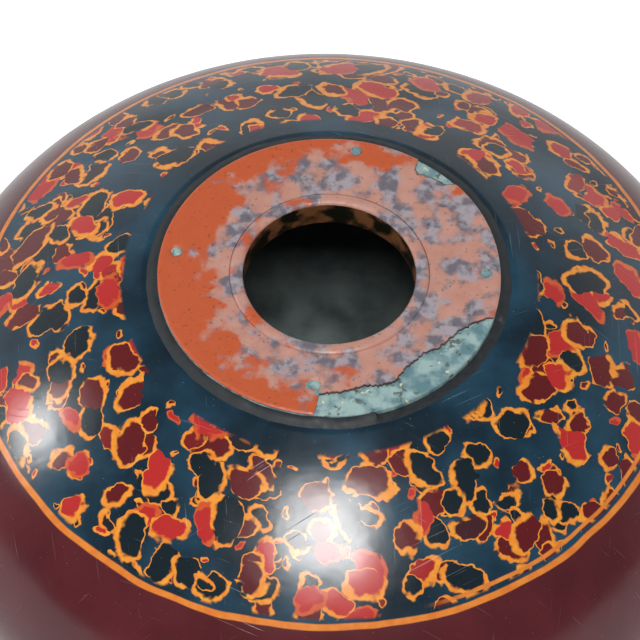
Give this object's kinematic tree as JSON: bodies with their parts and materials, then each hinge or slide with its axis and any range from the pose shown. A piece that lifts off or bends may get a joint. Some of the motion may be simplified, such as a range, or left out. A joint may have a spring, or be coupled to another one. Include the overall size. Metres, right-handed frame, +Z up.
{
  "type": "round lidded lacquer box",
  "caption": "Squat round lacquered box: a lift-off domed lid with a pinned bronze collar round its top hole, on a turned bowl with a foot ring.",
  "frame": {"origin": "middle of the foot ring's underside, on the box's axis", "axes": "+Z up along the box's axis, through the lid's hole; +X to the right as pictured"},
  "size_m": [0.1586, 0.1586, 0.0878],
  "materials": {
    "spotted_lacquer": "glossy blue-black lacquer with polished-through orange and red spots",
    "red_lacquer": "glossy dark red lacquer",
    "black_lacquer": "satin black lacquer",
    "collar_bronze": "bronze with a pale green patina",
    "collar_lacquer": "worn red-orange lacquer with grey grime",
    "putty": "dull black lacquer putty"
  },
  "bodies": {
    "base": {"base_bowl": "red_lacquer", "base_foot_ring": "red_lacquer", "base_mouth_hoop": "black_lacquer"},
    "lid": {"lid_dome": "spotted_lacquer", "collar": "collar_bronze", "collar_red_coat": "collar_lacquer", "collar_putty": "putty", "collar_pin_1": "collar_bronze", "collar_pin_2": "collar_bronze", "collar_pin_3": "collar_bronze", "collar_pin_4": "collar_bronze"}
  },
  "joints": [
    {"name": "lid_lift", "type": "slide", "parent": "base", "child": "lid", "axis": [0, 0, 1], "range_m": [0, 0.08]}
  ]
}
